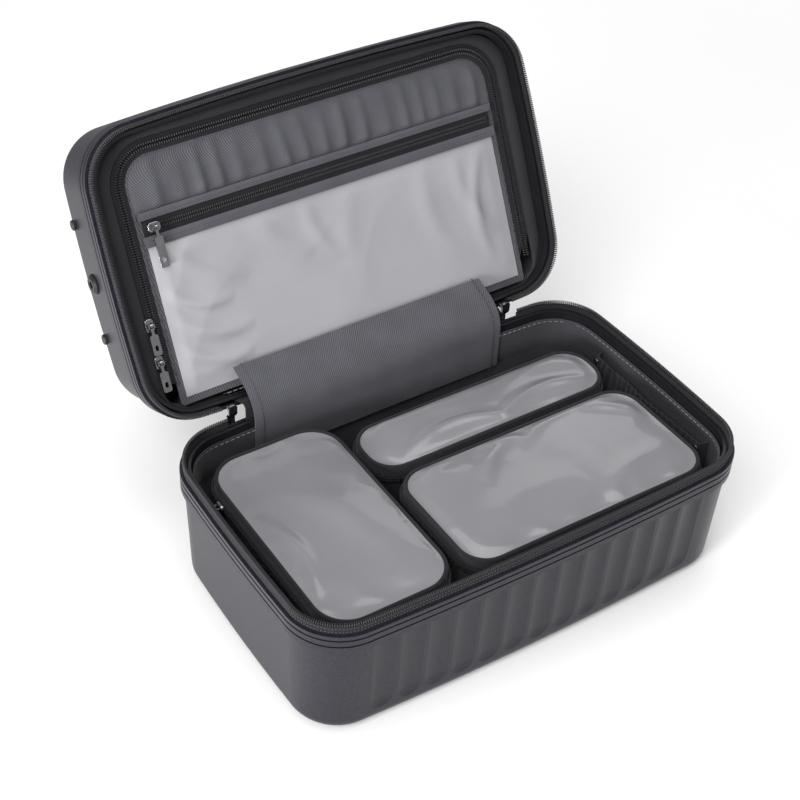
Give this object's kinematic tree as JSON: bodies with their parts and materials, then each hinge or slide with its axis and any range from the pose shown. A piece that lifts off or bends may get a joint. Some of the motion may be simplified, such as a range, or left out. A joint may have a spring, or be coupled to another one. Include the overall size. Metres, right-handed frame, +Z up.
{
  "type": "vanity case",
  "caption": "Hard-sided vanity case, lid open: zip closure, fabric hinge, zipped divider panel with clear pocket, side elastic pocket and removable clear-topped pouches.",
  "frame": {"origin": "centre of the flat bottom of the base", "axes": "+X along the case to the right seen from the front, +Y towards the hinge, +Z up"},
  "size_m": [0.338, 0.3541, 0.2823],
  "materials": {
    "grey_abs": "fine textured satin",
    "black_tape": "woven",
    "black_coil": "semi-gloss coil",
    "black_binding": "gloss",
    "grey_twill": "twill",
    "black_cloth": "gathered cloth",
    "nickel": "polished",
    "black_plastic": "satin",
    "gunmetal": "dark polished",
    "clear_vinyl": "clear glossy film over cloth"
  },
  "bodies": {
    "base": {"base_shell": "grey_abs", "base_zip_tape": "black_tape", "base_zip_teeth": "black_coil", "base_rim_strip": "black_binding", "base_lining": "grey_twill", "elastic_pocket": "black_cloth", "pocket_rivets": "nickel", "hinge_strip": "black_tape", "hinge_flap": "grey_twill", "left_main_slider": "gunmetal", "right_main_slider": "gunmetal"},
    "lid": {"lid_shell": "grey_abs", "lid_zip_tape": "black_tape", "lid_zip_teeth": "black_coil", "lid_rim_strip": "black_binding", "lid_lining": "grey_twill", "lid_surround": "grey_twill", "strap_sockets": "black_plastic", "bumper_studs": "black_plastic", "handle_brackets": "black_plastic", "divider_zip_lid_row": "black_coil", "divider_hinge_binding": "black_binding"},
    "handle": {"carry_handle": "black_plastic"},
    "divider": {"divider_panel": "grey_twill", "divider_zip_row": "black_coil", "gathered_pocket": "grey_twill", "pocket_zip": "black_coil", "clear_pocket": "clear_vinyl"},
    "pocket_slider": {"pocket_slider": "gunmetal"},
    "pocket_pull": {"pocket_pull": "gunmetal"},
    "upper_divider_slider": {"upper_divider_slider": "gunmetal"},
    "upper_divider_pull": {"upper_divider_pull": "gunmetal"},
    "lower_divider_slider": {"lower_divider_slider": "gunmetal"},
    "lower_divider_pull": {"lower_divider_pull": "gunmetal"},
    "left_main_pull": {"left_main_pull": "gunmetal"},
    "right_main_pull": {"right_main_pull": "gunmetal"},
    "left_pouch": {"left_pouch": "grey_twill", "left_pouch_window": "clear_vinyl", "left_pouch_zip": "black_coil"},
    "left_pouch_slider": {"left_pouch_slider": "gunmetal"},
    "left_pouch_pull": {"left_pouch_pull": "gunmetal"},
    "back_pouch": {"back_pouch": "grey_twill", "back_pouch_window": "clear_vinyl", "back_pouch_zip": "black_coil"},
    "back_pouch_slider": {"back_pouch_slider": "gunmetal"},
    "back_pouch_pull": {"back_pouch_pull": "gunmetal"},
    "right_pouch": {"right_pouch": "grey_twill", "right_pouch_window": "clear_vinyl", "right_pouch_zip": "black_coil"},
    "right_pouch_slider": {"right_pouch_slider": "gunmetal"},
    "right_pouch_pull": {"right_pouch_pull": "gunmetal"}
  },
  "joints": [
    {"name": "lid_hinge", "type": "hinge", "parent": "base", "child": "lid", "pos_m": [0, 0.1015, 0.102], "axis": [-1, 0, 0], "range_deg": [-117, 0], "deforming": ["hinge_strip", "hinge_flap"]},
    {"name": "handle_lift", "type": "slide", "parent": "lid", "child": "handle", "axis": [0, 0.891, -0.454], "range_m": [0, 0.0007]},
    {"name": "divider_hinge", "type": "hinge", "parent": "lid", "child": "divider", "pos_m": [0, 0.11982, 0.10535], "axis": [1, 0, 0], "range_deg": [0, 45]},
    {"name": "pocket_zip_slide", "type": "slide", "parent": "divider", "child": "pocket_slider", "axis": [1, 0, 0], "range_m": [0, 0.255]},
    {"name": "pocket_pull_swing", "type": "hinge", "parent": "pocket_slider", "child": "pocket_pull", "pos_m": [-0.129, 0.16807, 0.21679], "axis": [-1, 0, 0], "range_deg": [0, 120]},
    {"name": "upper_divider_slide", "type": "slide", "parent": "lid", "child": "upper_divider_slider", "axis": [0, 0.454, 0.891], "range_m": [0, 0.075]},
    {"name": "upper_divider_pull_swing", "type": "hinge", "parent": "upper_divider_slider", "child": "upper_divider_pull", "pos_m": [-0.1486, 0.14229, 0.1609], "axis": [-1, 0, 0], "range_deg": [0, 120]},
    {"name": "lower_divider_slide", "type": "slide", "parent": "lid", "child": "lower_divider_slider", "axis": [0, 0.454, 0.891], "range_m": [0, 0.003]},
    {"name": "lower_divider_pull_swing", "type": "hinge", "parent": "lower_divider_slider", "child": "lower_divider_pull", "pos_m": [-0.1486, 0.13071, 0.13818], "axis": [-1, 0, 0], "range_deg": [0, 120]},
    {"name": "left_main_pull_swing", "type": "hinge", "parent": "base", "child": "left_main_pull", "pos_m": [-0.1115, 0.1058, 0.102], "axis": [1, 0, 0], "range_deg": [0, 7]},
    {"name": "right_main_pull_swing", "type": "hinge", "parent": "base", "child": "right_main_pull", "pos_m": [0.1115, 0.1058, 0.102], "axis": [1, 0, 0], "range_deg": [0, 7]},
    {"name": "left_pouch_lift", "type": "slide", "parent": "base", "child": "left_pouch", "axis": [0, 0, 1], "range_m": [0, 0.1]},
    {"name": "left_pouch_zip_slide", "type": "slide", "parent": "left_pouch", "child": "left_pouch_slider", "axis": [0, -1, 0], "range_m": [0, 0.09]},
    {"name": "left_pouch_pull_swing", "type": "hinge", "parent": "left_pouch_slider", "child": "left_pouch_pull", "pos_m": [-0.1555, 0.046, 0.08], "axis": [0, 1, 0], "range_deg": [0, 10]},
    {"name": "back_pouch_lift", "type": "slide", "parent": "base", "child": "back_pouch", "axis": [0, 0, 1], "range_m": [0, 0.1]},
    {"name": "back_pouch_zip_slide", "type": "slide", "parent": "back_pouch", "child": "back_pouch_slider", "axis": [1, 0, 0], "range_m": [0, 0.13]},
    {"name": "back_pouch_pull_swing", "type": "hinge", "parent": "back_pouch_slider", "child": "back_pouch_pull", "pos_m": [-0.022, 0.0656, 0.077], "axis": [1, 0, 0], "range_deg": [0, 40]},
    {"name": "right_pouch_lift", "type": "slide", "parent": "base", "child": "right_pouch", "axis": [0, 0, 1], "range_m": [0, 0.1]},
    {"name": "right_pouch_zip_slide", "type": "slide", "parent": "right_pouch", "child": "right_pouch_slider", "axis": [0, -1, 0], "range_m": [0, 0.05]},
    {"name": "right_pouch_pull_swing", "type": "hinge", "parent": "right_pouch_slider", "child": "right_pouch_pull", "pos_m": [0.146, -0.018, 0.08], "axis": [0, -1, 0], "range_deg": [0, 6]}
  ]
}
